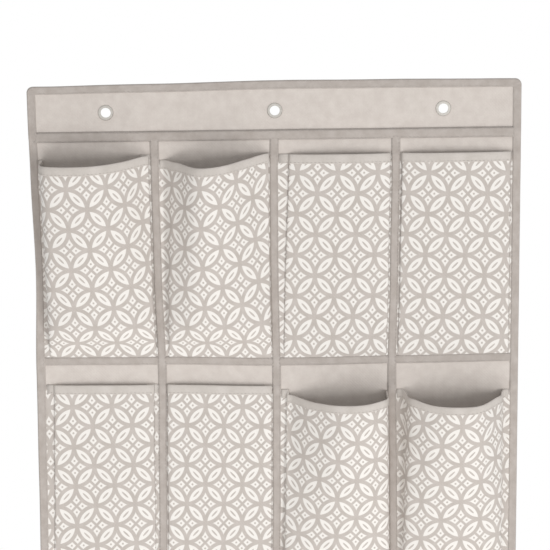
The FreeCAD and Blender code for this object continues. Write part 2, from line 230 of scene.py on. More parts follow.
pale, tree, shader = new_material("painted_floor", 0.7)
add(tree, "TexCoord")
add(tree, "TexNoise", tree.nodes["Texture Coordinate"].outputs["Object"], None, 9.0)
tone = add(tree, "MapRange", tree.nodes["Noise Texture"].outputs["Fac"], 0.3, 0.7, 0.0, 1.0)
tree.links.new(add(tree, "MixRGB", tone, linear("#F1EFEC"), linear("#F5F3F0")), shader.inputs["Base Color"])
shader.inputs["Emission Color"].default_value = linear("#FFFFFF")
shader.inputs["Emission Strength"].default_value = 0.3
floor_mesh.materials.append(pale)
print("floor material", pale.name)

# %% [markdown]
# ## Non-woven cloth
#
# The sheet is spun-bonded polypropylene: loose fibres rolled hot between cylinders, which press a lattice
# of small bond points into it. It is matt, slightly cloudy where the fibres lie thicker, and has a fine
# dimpled grain. The patterns follow each piece's own UV map, laid out in metres, so the grain bends with
# the cloth.

# %% Bond points and fibres
BOND_PITCH = 2.2   # about 1.4 mm on the real cloth, drawn coarser so that it shows
FIBRE_PATCH = 11.0  # cloudy patches
FIBRE_GRAIN = 0.9   # single fibres and their crossings


def grain(tree, bond_pitch):
    coords = add(tree, "TexCoord") and tree.nodes["Texture Coordinate"].outputs["UV"]
    turned = add(tree, "Mapping", coords, None, (0, 0, math.radians(45)))
    bonds = add(tree, "TexVoronoi", turned, None, 1 / (bond_pitch * MM), voronoi_dimensions="2D")
    lattice = tree.nodes["Voronoi Texture"]
    lattice.inputs["Randomness"].default_value = 0.0
    dimple = add(tree, "MapRange", bonds, 0.16, 0.34, 1.0, 0.0, interpolation_type="SMOOTHSTEP")
    cloud = add(tree, "TexNoise", coords, None, 1 / (FIBRE_PATCH * MM), 4.0, 0.6, noise_dimensions="2D")
    fibre = add(tree, "TexNoise", coords, None, 1 / (FIBRE_GRAIN * MM), 3.0, 0.7, noise_dimensions="2D")
    return coords, dimple, cloud, fibre


def pressed(tree, shader, dimple, fibre, depth):
    raised = add(tree, "Math", fibre, 0.5, operation="MULTIPLY")
    surface = add(tree, "Math", raised, dimple, operation="SUBTRACT")
    tree.links.new(add(tree, "Bump", 0.55, depth * MM), shader.inputs["Normal"])
    tree.links.new(surface, tree.nodes["Bump"].inputs["Height"])


def cloth_colour(tree, dimple, cloud, fibre, thin, thick):
    clouded = add(tree, "MapRange", cloud, 0.3, 0.7, 0.0, 0.75)
    mixed = add(tree, "MapRange", fibre, 0.25, 0.75, -0.15, 0.25)
    amount = add(tree, "Math", clouded, mixed, operation="ADD", use_clamp=True)
    base = add(tree, "MixRGB", amount, linear(thin), linear(thick))
    share = add(tree, "Math", dimple, 0.22, operation="MULTIPLY")
    return add(tree, "MixRGB", share, base, linear(thin))


def non_woven(name, thin, thick, bond_pitch, depth, roughness):
    made, tree, shader = new_material(name, roughness)
    coords, dimple, cloud, fibre = grain(tree, bond_pitch)
    colour = cloth_colour(tree, dimple, cloud, fibre, thin, thick)
    tree.links.new(colour, shader.inputs["Base Color"])
    pressed(tree, shader, dimple, fibre, depth)
    shader.inputs["Specular IOR Level"].default_value = 0.25
    shader.inputs["Sheen Weight"].default_value = 0.12
    shader.inputs["Sheen Roughness"].default_value = 0.6
    return made


panel_cloth = non_woven("spunbond_panel_cloth", "#CDC4BD", "#D9D1CA", BOND_PITCH, 0.10, 0.86)
tape_cloth = non_woven("spunbond_folded_tape", "#AFA69F", "#C0B8B2", 1.7, 0.14, 0.9)
hem_cloth = non_woven("spunbond_hem_binding", "#C4BDB6", "#D2CBC5", 1.9, 0.10, 0.88)
thread = non_woven("polyester_thread", "#AFA8A1", "#C6BFB9", 0.6, 0.05, 0.6)
print("cloth materials", panel_cloth.name, tape_cloth.name, hem_cloth.name, thread.name)

# %% [markdown]
# ## The print
#
# The pockets are cut from the same cloth with a white pattern printed on it. The pattern is a square
# lattice turned by 45 degrees. A white petal lies along each side of a square: it is where two circles
# overlap. Inside each square are four small rounded diamonds with a dot in each. Folding the plane into one
# eighth of a square makes all of that with a few distances.

# %% Printed cloth
SQUARE = 28.2        # side of one lattice square
TALLER = 1.06        # the print is stretched this much along the roll
PETAL = 0.632        # circle radius of a petal, in squares
DIAMOND = 0.767      # the small diamonds start this far from the neighbouring centres
EDGE = 0.012         # ink bleed at an edge


def inside(tree, value, limit, soft=EDGE):
    return add(tree, "MapRange", value, limit - soft, limit + soft, 1.0, 0.0, interpolation_type="SMOOTHSTEP")


def hypotenuse(tree, a, b):
    squares = [add(tree, "Math", x, x, operation="MULTIPLY") for x in (a, b)]
    return add(tree, "Math", add(tree, "Math", *squares, operation="ADD"), 0.5, operation="POWER")


def lattice_print(tree, coords):
    turned = add(tree, "Mapping", coords, None, (0, 0, math.radians(45)),
                 (1 / (SQUARE * MM), 1 / (SQUARE * TALLER * MM), 1.0))
    split = tree.nodes.new("ShaderNodeSeparateXYZ")
    tree.links.new(turned, split.inputs[0])
    folded = []
    for axis in split.outputs[:2]:
        part = add(tree, "Math", axis, operation="FRACT")
        centred = add(tree, "Math", part, 0.5, operation="SUBTRACT")
        folded.append(add(tree, "Math", centred, operation="ABSOLUTE"))
    far = add(tree, "Math", *folded, operation="MAXIMUM")
    near = add(tree, "Math", *folded, operation="MINIMUM")
    across = add(tree, "Math", 1.0, far, operation="SUBTRACT")
    neighbour = hypotenuse(tree, across, near)
    petal = inside(tree, neighbour, PETAL)
    from_side = add(tree, "Math", add(tree, "Math", 0.5, far, operation="SUBTRACT"), 5.0,
                    operation="MULTIPLY")
    slit = inside(tree, hypotenuse(tree, from_side, near), 0.155, 0.02)
    diamond = add(tree, "MapRange", neighbour, DIAMOND - EDGE, DIAMOND + EDGE, 0.0, 1.0)
    off_cross = add(tree, "MapRange", near, 0.035, 0.055, 0.0, 1.0)
    ink = add(tree, "Math", diamond, off_cross, operation="MULTIPLY")
    offset = [add(tree, "Math", x, 0.152, operation="SUBTRACT") for x in (far, near)]
    dot = inside(tree, hypotenuse(tree, *offset), 0.036)
    holes = add(tree, "Math", slit, dot, operation="MAXIMUM")
    shapes = add(tree, "Math", petal, ink, operation="MAXIMUM")
    kept = add(tree, "Math", 1.0, holes, operation="SUBTRACT")
    return add(tree, "Math", shapes, kept, operation="MULTIPLY")


printed_cloth, tree, shader = new_material("printed_spunbond_pocket_cloth", 0.84)
coords, dimple, cloud, fibre = grain(tree, BOND_PITCH)
ground = cloth_colour(tree, dimple, cloud, fibre, "#BDB5AE", "#C9C1BB")
ink = lattice_print(tree, coords)
worn = add(tree, "MapRange", fibre, 0.2, 0.5, 0.86, 1.0)
cover = add(tree, "Math", ink, worn, operation="MULTIPLY")
colour = add(tree, "MixRGB", cover, ground, linear("#EEEAE5"))
tree.links.new(colour, shader.inputs["Base Color"])
pressed(tree, shader, dimple, fibre, 0.10)
shader.inputs["Specular IOR Level"].default_value = 0.25
shader.inputs["Sheen Weight"].default_value = 0.1
shader.inputs["Sheen Roughness"].default_value = 0.6
print("print repeats every", round(SQUARE * math.sqrt(2), 1), "mm")

# %% [markdown]
# ## How the cloth lies
#
# Cut cloth never hangs in a perfect plane. The header is held only at the eyelets, so its left corner sags
# and its middle stays up, and loaded pockets draw the tapes together a little. Two small tables give those
# shifts at a few places, and soft noise adds the shallow ripples. Every piece goes through this one
# function, so all layers stay together. Nothing moves at the eyelets, because those are metal.

# %% The lay of the cloth
ACROSS = (-HALF, -HALF + 18, -PITCH, 0.0, PITCH, HALF)
STILL = (0.0,) * len(ACROSS)
DOWN = (TOP, 0.0, -60.0, -160.0, -270.0, -380.0, -500.0, -720.0)
SIDEWAYS = (
    STILL,
    STILL,
    (1.0, 0.0, 0.0, -1.6, 0.0, 0.0),
    (3.2, 0.8, 0.8, -2.0, -1.6, 0.0),
    (0.4, 2.0, 3.3, -1.0, -3.9, 0.0),
    (-0.6, 0.4, 1.5, -2.0, -2.6, 0.0),
    (-2.0, -2.0, 0.0, -3.6, -1.9, 0.0),
    STILL,
)
UPWARDS = (
    (-1.3, -1.3, 0.2, 2.0, 1.8, 0.9),
    STILL,
    STILL,
    STILL,
    (1.6, 1.6, 0.8, -2.2, -1.6, -0.8),
    (0.8, 0.8, 0.4, -1.0, -0.8, -0.4),
    STILL,
    STILL,
)


def ease(t):
    t = min(max(t, 0.0), 1.0)
    return t * t * (3 - 2 * t)


def mix(a, b, t):
    return a + (b - a) * t


def step_of(marks, value):
    """Which step between the marks holds the value, and how far into that step it lies."""
    way = marks[-1] - marks[0]
    i = 0
    while i < len(marks) - 2 and (value - marks[i + 1]) * way >= 0:
        i += 1
    return i, (value - marks[i]) / (marks[i + 1] - marks[i])


def from_table(table, x, z):
    i, across = step_of(ACROSS, x)
    j, down = step_of(DOWN, z)
    upper = mix(table[j][i], table[j][i + 1], ease(across))
    lower = mix(table[j + 1][i], table[j + 1][i + 1], ease(across))
    return mix(upper, lower, ease(down))


def ripple(x, z):
    """Depth of the ripples: none on the metal rims, all of it in the header and three tenths below that."""
    calm = ease((min(math.hypot(x - e, z) for e in EYELETS) - 9) / 24)
    header = 0.3 + 0.7 * ease((z - HEADER_TAPE[0]) / 18)
    broad = noise.noise(Vector((x / 58, z / 95, 3.1)))
    small = noise.noise(Vector((x / 24 + z / 60, z / 42, 7.7)))
    return (3.2 * broad + 1.3 * small) * calm * header


def lay(x, y, z):
    return Vector((x + from_table(SIDEWAYS, x, z), y + ripple(x, z), z + from_table(UPWARDS, x, z))) * MM


print("left top corner hangs", round(lay(-HALF, 0, TOP).z / MM - TOP, 1), "mm from its place")

# %% [markdown]
# ## Cutting cloth
#
# Every soft piece starts as a flat grid from the grid operator. A function then says where each point of
# the flat cloth goes, and the same flat place becomes its UV, so the grain and the print are the size they
# are on the roll. A Solidify modifier gives the sheet its thickness.

# %% Helpers for cloth pieces
def new_piece(name, bm, finish, thickness=None, rim=True):
    mesh = bpy.data.meshes.new(name)
    bm.to_mesh(mesh)
    bm.free()
    mesh.materials.append(finish)
    mesh.shade_smooth()
    piece = bpy.data.objects.new(name, mesh)
    scene.collection.objects.link(piece)
    if thickness:
        solid = piece.modifiers.new("thickness", "SOLIDIFY")
        solid.thickness = thickness * MM
        solid.offset = 0.0
        solid.use_rim = rim
    return piece


def cut(bm, cells, at, uv=None):
    """Adds a flat grid of cells[0] by cells[1] and moves each corner (a, b), both 0 to 1, to at(a, b)."""
    across, along = cells
    layer = bm.loops.layers.uv.verify()
    made = bmesh.ops.create_grid(bm, x_segments=across, y_segments=along, size=1.0)["verts"]
    flat = {}
    for vert in made:
        a, b = (vert.co.x + 1) / 2, (vert.co.y + 1) / 2
        vert.co = at(a, b)
        flat[vert] = (uv or at)(a, b)
    faces = {face for vert in made for face in vert.link_faces}
    for face in faces:
        for loop in face.loops:
            place = flat[loop.vert]
            loop[layer].uv = (place[0], place[1])
    return made


def bend_at_fold(piece, r):
    """Bakes the piece's placement into its mesh."""
    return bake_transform(piece)


LAST = len(FOLDS)
JOINS = [TOP] + [(SEAM[r][1] + MOUTH[r]) / 2 for r in range(2, LAST + 1)] + [BOTTOM]
SPANS = {r: (JOINS[r], JOINS[r - 1]) for r in range(1, LAST + 1)}
print("the long pieces are cut at", [round(z) for z in JOINS])

# %% [markdown]
# ## Back panel
#
# One sheet carries everything. It is made in five lengths that meet behind the middle of a pocket row,
# because a piece may bend at only one fold. The three eyelet holes are made by taking away the cells inside
# them and drawing the rim of the hole to a circle, which the metal rims cover.

# %% Back panel
INSET = 0.9           # the panel's edge stops this far inside the outline
PANEL_HALF = HALF - INSET
CORNER = 6.5          # radius of the rounded corners
EDGING = 8.8          # what shows of an edge binding in front
PANEL_DEPTH = 0.4     # the middle of the sheet, whose measured front is at 0
CORNER_INSET = 1.6    # the panel's corner stops this far inside the outline
HOLE = 6.3            # radius of a hole in the cloth, under the metal rim
HOLE_CELLS = 6.0      # cells with their middle nearer than this are taken away
HOLE_RIM = 9.0        # open edges nearer than this are drawn to the circle
FINE_CELLS = 22.0     # the cells nearer than this are made smaller first


def rounded(x, z):
    """Keeps a point of the panel inside its rounded corners."""
    centre_x = math.copysign(HALF - CORNER, x)
    centre_z = TOP - CORNER if z > 0 else BOTTOM + CORNER
    out_x, out_z = (x - centre_x) * math.copysign(1, x), (z - centre_z) * (1 if z > 0 else -1)
    reach = math.hypot(out_x, out_z)
    if out_x <= 0 or out_z <= 0 or reach < CORNER - CORNER_INSET:
        return x, z
    share = (CORNER - CORNER_INSET) / reach
    return centre_x + (x - centre_x) * share, centre_z + (z - centre_z) * share


panels = {}
for r, (low, high) in SPANS.items():
    low = low + (INSET if r == LAST else 0.0)
    high = high - (INSET if r == 1 else 0.0)
    bm = bmesh.new()
    cells = (110, round((high - low) / 4.5))
    cut(bm, cells, lambda a, b: Vector((mix(-PANEL_HALF, PANEL_HALF, a), 0, mix(low, high, b))) * MM,
        lambda a, b: (mix(-PANEL_HALF, PANEL_HALF, a) * MM, mix(low, high, b) * MM))
    if r == 1:
        near = [e for e in bm.edges
                if any((e.verts[0].co / MM - Vector((x, 0, 0))).length < FINE_CELLS for x in EYELETS)]
        bmesh.ops.subdivide_edges(bm, edges=near, cuts=2, use_grid_fill=True)
        for x in EYELETS:
            hole = Vector((x, 0, 0)) * MM
            covered = [f for f in bm.faces if (f.calc_center_median() - hole).length < HOLE_CELLS * MM]
            bmesh.ops.delete(bm, geom=covered, context="FACES")
            for vert in bm.verts:
                if vert.is_boundary and (vert.co - hole).length < HOLE_RIM * MM:
                    vert.co = hole + (vert.co - hole).normalized() * HOLE * MM
    for vert in bm.verts:
        x, z = rounded(vert.co.x / MM, vert.co.z / MM)
        vert.co = lay(x, PANEL_DEPTH, z)
    panels[r] = new_piece(f"panel_cloth_{r}", bm, panel_cloth, thickness=0.7, rim=False)
    bend_at_fold(panels[r], r)
    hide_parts(f"back_panel_row_{r}", *([f"back_panel_row_{r + 1}"] if r == LAST else []))
print("back panel in", len(panels), "lengths")

# %% [markdown]
# ## Tapes and bindings
#
# Tapes are strips of the same cloth, folded and sewn down over the raw edges. An edge binding wraps round
# the edge of the panel, so its strip is bent into a narrow U. Where a tape crosses pocket cloth or a seam
# tape it rides up on it.

# %% Divider tapes and side bindings
def step_over(z, low, high, more):
    """Extra height over something that lies between two levels, with a short slope at each end."""
    return more * ease((z - low + 1) / 2) * ease((high + 1 - z) / 2)


def rise_at(z):
    """How far the front of an upright tape stands from the panel at level z."""
    over = [step_over(z, *HEADER_TAPE, 1.0)]
    for r in ROWS:
        over += [step_over(z, SEAM[r][0], MOUTH[r], 0.6), step_over(z, *SEAM[r], 1.1),
                 step_over(z, MOUTH[r] - HEM, MOUTH[r] + 0.5, 1.1)]
    return 0.55 + max(over)


def tape_point(middle, z, u, lift=0.0):
    """u runs from -1 to 1 across the tape, and the folded edges turn down to the cloth."""
    edge = 1 - abs(u) ** 10
    return lay(middle + u * TAPE * 0.475, -(rise_at(z) + 0.4) * edge - lift, z)


BACK = 1.35           # how far a binding stands behind the panel
LEG = 13.0            # how far the top binding runs down each side
BOTTOM_LEG = 0.2      # and the bottom binding up
STRIP = 2.2 * TAPE    # width of a binding's strip before it is folded
STRIP_RUN = 0.55      # length that the top strip has on the roll, in metres
TURN = 1.4            # a binding starts to turn round the edge this far inside the outline


def folded_round(w, front):
    """Distance inwards from the edge, and depth. w is 0 at the front inner edge and 1 at the back inner edge."""
    leg = EDGING - TURN
    if w < 0.45:
        return EDGING - leg * w / 0.45, -front * ease(0.1 + w / 0.04)
    if w > 0.55:
        return EDGING - leg * (1 - w) / 0.45, mix(0.7, BACK, ease((1 - w) / 0.04))
    turn = (w - 0.45) / 0.1 * math.pi
    return TURN - 1.15 * math.sin(turn), mix(-front, BACK, (1 - math.cos(turn)) / 2)


def binding_point(side, z, w):
    inwards, depth = folded_round(w, rise_at(z) + 0.35)
    return lay(side * (HALF - inwards), depth, z)


dividers, bindings = {}, {}
for r, (low, high) in SPANS.items():
    high = HEADER_TAPE[0] + 2.5 if r == 1 else high
    rows = round((high - low) / 2.5)
    bm = bmesh.new()
    for middle in DIVIDERS:
        cut(bm, (8, rows), lambda a, b: tape_point(middle, mix(low, high, b), 2 * a - 1),
            lambda a, b: (a * TAPE * MM, mix(low, high, b) * MM))
    dividers[r] = bend_at_fold(new_piece(f"divider_tapes_{r}", bm, tape_cloth), r)
    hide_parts(f"divider_tapes_row_{r}", *([f"divider_tapes_row_{r + 1}"] if r == LAST else []))

    low, high = SPANS[r]
    high = high - CORNER - LEG if r == 1 else high
    low = low + CORNER + BOTTOM_LEG if r == LAST else low
    rows = round((high - low) / 3)
    bm = bmesh.new()
    for side in (-1, 1):
        cut(bm, (24, rows),
            lambda a, b: binding_point(side, mix(low, high, b), a if side > 0 else 1 - a),
            lambda a, b: (a * STRIP * MM, mix(low, high, b) * MM))
    bindings[r] = bend_at_fold(new_piece(f"side_bindings_{r}", bm, tape_cloth), r)
    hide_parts(f"side_bindings_row_{r}", *([f"side_bindings_row_{r + 1}"] if r == LAST else []))
print("upright tapes", len(dividers) + len(bindings))

# %% [markdown]
# The header tape and the seam tapes run across the panel. The top binding turns both rounded corners in one
# strip, as bias tape does, and the bottom binding closes the lower edge.

# %% Tapes that run across
def level_tape(name, z_low, z_high, height):
    bm = bmesh.new()
    reach = HALF - TAPE * 0.5
    cut(bm, (150, 6),
        lambda a, b: lay(mix(-reach, reach, a), -height * (0.6 + 0.4 * (1 - abs(2 * b - 1) ** 8)),
                         mix(z_low, z_high, b)),
        lambda a, b: (mix(-reach, reach, a) * MM, b * (z_high - z_low) * MM))
    return new_piece(name, bm, tape_cloth, thickness=0.5)


header_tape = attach(level_tape("header_tape_cloth", *HEADER_TAPE, 1.6), "row_1")
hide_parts("header_tape")
for r in ROWS:
    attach(level_tape(f"seam_tape_{r}", *SEAM[r], 1.15), f"row_{r}")
    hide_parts(f"seam_tape_row_{r}")


def edge_run(top, side_length):
    """Places round a top or bottom edge and its two corners, each with the place inside that it faces."""
    sign = 1 if top else -1
    edge = TOP if top else BOTTOM
    sides = []
    for side in (-1, 1):
        down = [(side * HALF, edge - sign * (CORNER + side_length * (1 - i / 5))) for i in range(5)]
        angles = [i / 8 * math.pi / 2 for i in range(9)]
        turn = [(side * (HALF - CORNER + CORNER * math.cos(t)), edge - sign * (CORNER - CORNER * math.sin(t)))
                for t in angles]
        sides.append(down + turn)
    across = [(mix(-HALF + CORNER, HALF - CORNER, i / 120), edge) for i in range(1, 120)]
    limit_x, limit_z = HALF - EDGING, edge - sign * EDGING
    run = sides[0] + across + sides[1][::-1]
    return [(x, z, min(max(x, -limit_x), limit_x), sign * min(sign * z, sign * limit_z)) for x, z in run]


def end_binding(name, top, side_length):
    run = edge_run(top, side_length)
    bm = bmesh.new()

    def at(a, b):
        x, z, inner_x, inner_z = run[round(a * (len(run) - 1))]
        inwards, depth = folded_round(b if top else 1 - b, 0.9)
        return lay(mix(x, inner_x, inwards / EDGING), depth, mix(z, inner_z, inwards / EDGING))

    cut(bm, (len(run) - 1, 24), at, lambda a, b: (a * STRIP_RUN, b * STRIP * MM))
    return new_piece(name, bm, tape_cloth)


top_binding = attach(end_binding("top_binding_cloth", True, LEG), "row_1")
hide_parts("top_binding")
bottom_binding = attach(end_binding("bottom_binding_cloth", False, BOTTOM_LEG), f"row_{ROWS[-1]}")
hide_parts("bottom_binding")

# %% [markdown]
# ## Pockets
#
# Each pocket is a strip of printed cloth, wider than its place, sewn down at both sides and along the
# bottom. The spare width is laid in a knife pleat at each side. An empty pocket lies nearly flat on its
# pleats. In a used one the pleats open, the front bellies out and its mouth sags. A pocket's shape is drawn
# as one line across, from sewn edge to sewn edge, that changes with the height. The line passes smoothly
# through seventeen key points.

# %% Pocket shapes
FRONT_STOPS = (-0.9, -0.5, 0.0, 0.5, 0.9)  # -1 and 1 are the folded edges
FLAT = dict(
    recess=((1.0, 1.0), (1.0, 1.0)),   # how far each folded edge stands in, at the mouth and at the seam
    depths=(3.3, 3.7, 3.9, 3.7, 3.3),  # how far the mouth stands out at the five stops
    drops=(0.0,) * 5,                  # how far the mouth sags there
    ends=(0.0, 0.0),                   # how far it sags at its two sewn ends
    toe=3.0,                           # depth just above the seam
    creases=0.35,                      # height of the creases
    slant=0.0,                         # 0 for a folded pleat at each side, 1 for a side wall pulled straight
)
# A straight side wall: part of the way back to the sewn edge, and part of the depth
SIDE_WALL = ((0.04, 0.66), (0.33, 0.42), (0.66, 0.17), (0.92, 0.02))
USED = dict(FLAT, toe=16.0, creases=1.1)
pockets = {}
dice = random.Random(24)
for r in ROWS:
    for c in COLUMNS:
        left, right = dice.uniform(0.5, 4), dice.uniform(0.5, 3)
        full = dice.uniform(-0.3, 0.5)
        depths = tuple(round(d + full + dice.uniform(-0.3, 0.3), 2) for d in FLAT["depths"])
        pockets[r, c] = dict(FLAT, recess=((left, left * 0.7), (right, right)), depths=depths,
                             turn=dice.uniform(-1.5, 2.5),
                             shift=(dice.uniform(-20, 20), dice.uniform(-20, 20)))
pockets[1, 1].update(USED, recess=((2.0, 4.0), (1.5, 0.5)), depths=(33, 38, 37, 24, 6),
                     drops=(4.4, 4.6, 4.2, 2.6, -0.2), ends=(3.0, -1.0))
pockets[1, 2].update(USED, recess=((15.0, 3.0), (1.0, 0.5)), depths=(15, 36, 34, 19, 4),
                     drops=(5.5, 7.6, 6.2, 2.4, -1.0), ends=(4.5, -1.5), creases=1.8, slant=0.85)
pockets[1, 3].update(recess=((11.0, 3.0), (1.0, 1.0)), depths=(3.9, 6.2, 6.8, 6.5, 4.4))
pockets[1, 4].update(recess=((1.5, 1.0), (1.0, 1.0)), depths=(4.2, 6.6, 6.4, 5.6, 3.8))
pockets[2, 1].update(recess=((7.0, 5.0), (4.0, 3.0)))
pockets[2, 2].update(recess=((0.5, 0.5), (0.5, 0.5)))
pockets[2, 3].update(USED, recess=((6.0, 4.0), (0.5, 0.5)), depths=(4, 22, 38, 39, 29),
                     drops=(10, 13, 13.5, 13, 11), ends=(5.0, 8.0), slant=0.6)
pockets[2, 4].update(USED, recess=((11.0, 4.0), (9.0, 7.0)), depths=(22, 35, 40, 38, 20),
                     drops=(12, 16, 17, 16, 12.5), ends=(7.0, 9.5), slant=0.6)
# How each print that the picture shows is turned, in degrees, and shifted, in millimetres. A separate
# script fitted these to the picture.
PRINTS = {
    (1, 1): (-0.6, 34.6, 41.3), (1, 2): (-2.7, 5.2, 41.2), (1, 3): (0.3, 37.0, 20.9), (1, 4): (1.2, 8.4, 19.1),
    (2, 1): (-1.6, 12.5, 18.1), (2, 2): (0.4, 3.8, 39.1), (2, 3): (0.6, 18.2, 34.9), (2, 4): (-0.7, 7.4, 9.2),
}
for place, (turn, across, up) in PRINTS.items():
    pockets[place].update(turn=turn, shift=(across, up))


@lru_cache(maxsize=None)
def key_line(r, c, v):
    """Seventeen places (x, depth, drop) across pocket r, c at height v above the seam."""
    p = pockets[r, c]
    t = min(max(v / HEIGHT, 0.0), 1.0)
    leave = ease(v / (34.0 if p["toe"] > 5 else 10.0))  # slower for a full pocket than for a flat one
    left = -OPENING + mix(p["recess"][0][1], p["recess"][0][0], t)
    right = OPENING - mix(p["recess"][1][1], p["recess"][1][0], t)
    front = []
    for s, depth, drop in zip(FRONT_STOPS, p["depths"], p["drops"]):
        toe = p["toe"] * (1 - 0.45 * s * s)
        full = mix(toe, depth, ease(0.12 + 0.88 * t))
        x = mix(left, right, (s + 1) / 2)
        crease = p["creases"] * (0.4 + 0.6 * t) * noise.noise(Vector((x / 15 + 9 * c, v / 60, 5 * r)))
        crease += 0.35 * p["creases"] * noise.noise(Vector((x / 7, v / 19 + 3 * c, 8 * r)))
        front.append((x, 0.8 + max(full + crease, 1.4) * leave, drop * t * t))
    line = []
    for side, edge, end, nearest in ((-1, left, p["ends"][0], front[0]), (1, right, p["ends"][1], front[-1])):
        depth = nearest[1]
        opened = ease((depth - 5) / 14)  # 0 while the pleat is folded, 1 once the front stands 19 mm out
        drop = end * t * t
        # From the folded edge back under the front to the sewn edge, and under the tape
        pleat = [(edge, mix(0.62 * depth + 0.2, 0.6 * depth, opened)),
                 (edge - side * mix(5.0, 1.2, opened), mix(0.45 * depth + 0.2, 0.33 * depth, opened)),
                 (edge - side * mix(7.5, 1.6, opened), mix(0.32 * depth + 0.3, 0.13 * depth + 0.3, opened)),
                 (edge - side * mix(4.0, 0.4, opened), 0.7),
                 (side * OPENING, 0.55),
                 (side * (OPENING + 4.5), 0.5)]
        slanted = [(mix(edge, side * OPENING, way), depth * high + 0.3) for way, high in SIDE_WALL]
        pleat[:4] = [(mix(x, sx, p["slant"]), mix(y, sy, p["slant"]))
                     for (x, y), (sx, sy) in zip(pleat, slanted)]
        across = [(x, y, mix(nearest[2], drop, i / 2) if i < 2 else drop) for i, (x, y) in enumerate(pleat)]
        line.append(across)
    return [*line[0][::-1], *front, *line[1]]


def smooth_through(points, k):
    """A Catmull-Rom curve through the points. k counts them from 0, and 2.5 is half way from 2 to 3."""
    i = min(int(k), len(points) - 2)
    t = k - i
    near = [points[min(max(i + n, 0), len(points) - 1)] for n in (-1, 0, 1, 2)]
    weights = (-0.5 * t + t * t - 0.5 * t ** 3, 1 - 2.5 * t * t + 1.5 * t ** 3,
               0.5 * t + 2 * t * t - 1.5 * t ** 3, -0.5 * t * t + 0.5 * t ** 3)
    return [sum(w * p[n] for w, p in zip(weights, near)) for n in range(3)]


def pocket_flat_point(r, c, k, v):
    x, depth, drop = smooth_through(key_line(r, c, round(v, 2)), k)
    return x, depth, v - drop


def pocket_point(r, c, k, v, lift=0.0):
    x, depth, rise = pocket_flat_point(r, c, k, v)
    if lift:
        ax, ad, _ = pocket_flat_point(r, c, max(k - 0.08, 0), v)
        bx, bd, _ = pocket_flat_point(r, c, min(k + 0.08, 16), v)
        along = Vector((bx - ax, bd - ad)).normalized()
        x, depth = x - along.y * lift, depth + along.x * lift
    return lay(MIDDLES[c - 1] + x, -depth, SEAM[r][1] + rise)


STOPS = [0, 1, 1.5, 2, 2.5, 3, 3.33, 3.67, 4, 4.33, 4.67, 5, 5.33, 5.67, 6]
STOPS += [6 + i / 8 for i in range(1, 9)] + [7 + i / 9 for i in range(1, 10)]
STOPS += [16 - k for k in STOPS[:-1][::-1]]
LEVELS = [-8.0, -4.0, 0.0, 2, 4, 7, 10, 14, 19, 25, 32] + [32 + (HEIGHT - 32) * i / 34 for i in range(1, 35)]
print("a pocket is", len(STOPS) - 1, "by", len(LEVELS) - 1, "cells")

# %% [markdown]
# The print has to keep its size on the cloth, so the UV across is the distance along the cloth from the
# middle of the front, and the UV upwards is the distance up the front. Each pocket was cut from another
# place on the roll, so its print is shifted, and some are cut a little off the straight.

# %% Cutting and placing the pockets
def distances(places, origin):
    """Distance along a line of points, counted from the point with index origin."""
    total = [0.0]
    for a, b in zip(places, places[1:]):
        total.append(total[-1] + math.dist(a, b))
    return [d - total[origin] for d in total]


CENTRE = STOPS.index(8)


def flat_places(r, c):
    up = distances([pocket_flat_point(r, c, 8, v)[1:] for v in LEVELS], 2)
    rows = []
    for v, height in zip(LEVELS, up):
        line = [pocket_flat_point(r, c, k, v)[:2] for k in STOPS]
        rows.append([(across, height) for across in distances(line, CENTRE)])
    return rows


def on_the_roll(r, c, across, up):
    p = pockets[r, c]
    turn = math.radians(p["turn"])
    x, y = across - p["shift"][0], up - p["shift"][1]
    return (x * math.cos(turn) - y * math.sin(turn)) * MM, (x * math.sin(turn) + y * math.cos(turn)) * MM


pocket_cloths, widths = {}, []
for r in ROWS:
    bm = bmesh.new()
    for c in COLUMNS:
        rows = flat_places(r, c)
        widths.append(rows[-1][-1][0] - rows[-1][0][0])
        columns, levels = len(STOPS) - 1, len(LEVELS) - 1
        cut(bm, (columns, levels),
            lambda a, b: pocket_point(r, c, STOPS[round(a * columns)], LEVELS[round(b * levels)]),
            lambda a, b: on_the_roll(r, c, *rows[round(b * levels)][round(a * columns)]))
    piece = new_piece(f"pocket_cloth_{r}", bm, printed_cloth, thickness=0.45)
    pocket_cloths[r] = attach(piece, f"row_{r}")
    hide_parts(*[f"pocket_row_{r}_column_{c}" for c in COLUMNS])
print("pockets cut", round(min(widths)), "to", round(max(widths)), "mm wide")

# %% [markdown]
# A plain strip is folded over each mouth and stitched. It follows the same line across as its pocket, a
# little outside it, over the top and down inside.

# %% Mouth hems
# Heights on the pocket, and how far in front of its cloth the strip lies there
HEM_STEPS = [(HEIGHT - HEM, 0.50), (HEIGHT - HEM + 0.6, 0.62), (HEIGHT - HEM * 0.66, 0.60),
             (HEIGHT - HEM * 0.33, 0.60), (HEIGHT - 0.4, 0.56), (HEIGHT + 0.2, 0.30), (HEIGHT + 0.4, 0.0),
             (HEIGHT + 0.1, -0.30), (HEIGHT - 1.0, -0.5), (HEIGHT - HEM * 0.5, -0.5)]
for r in ROWS:
    bm = bmesh.new()
    for c in COLUMNS:
        stops = [k for k in STOPS if 0.9 < k < 15.1]
        columns, turns = len(stops) - 1, len(HEM_STEPS) - 1
        cut(bm, (columns, turns),
            lambda a, b: pocket_point(r, c, stops[round(a * columns)], *HEM_STEPS[round(b * turns)]),
            lambda a, b: (a * 2 * OPENING * MM, b * 2 * HEM * MM))
    piece = new_piece(f"mouth_hems_{r}", bm, hem_cloth, thickness=0.35)
    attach(piece, f"row_{r}")
    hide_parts(f"pocket_hems_row_{r}")

# %% [markdown]
# ## Stitching
#
# A lockstitch shows as a row of small thread beads on both faces. One low bead is made from the icosphere
# operator, and the spin operator with no angle repeats it along a straight line. Then each point of the row
# is put on its tape.

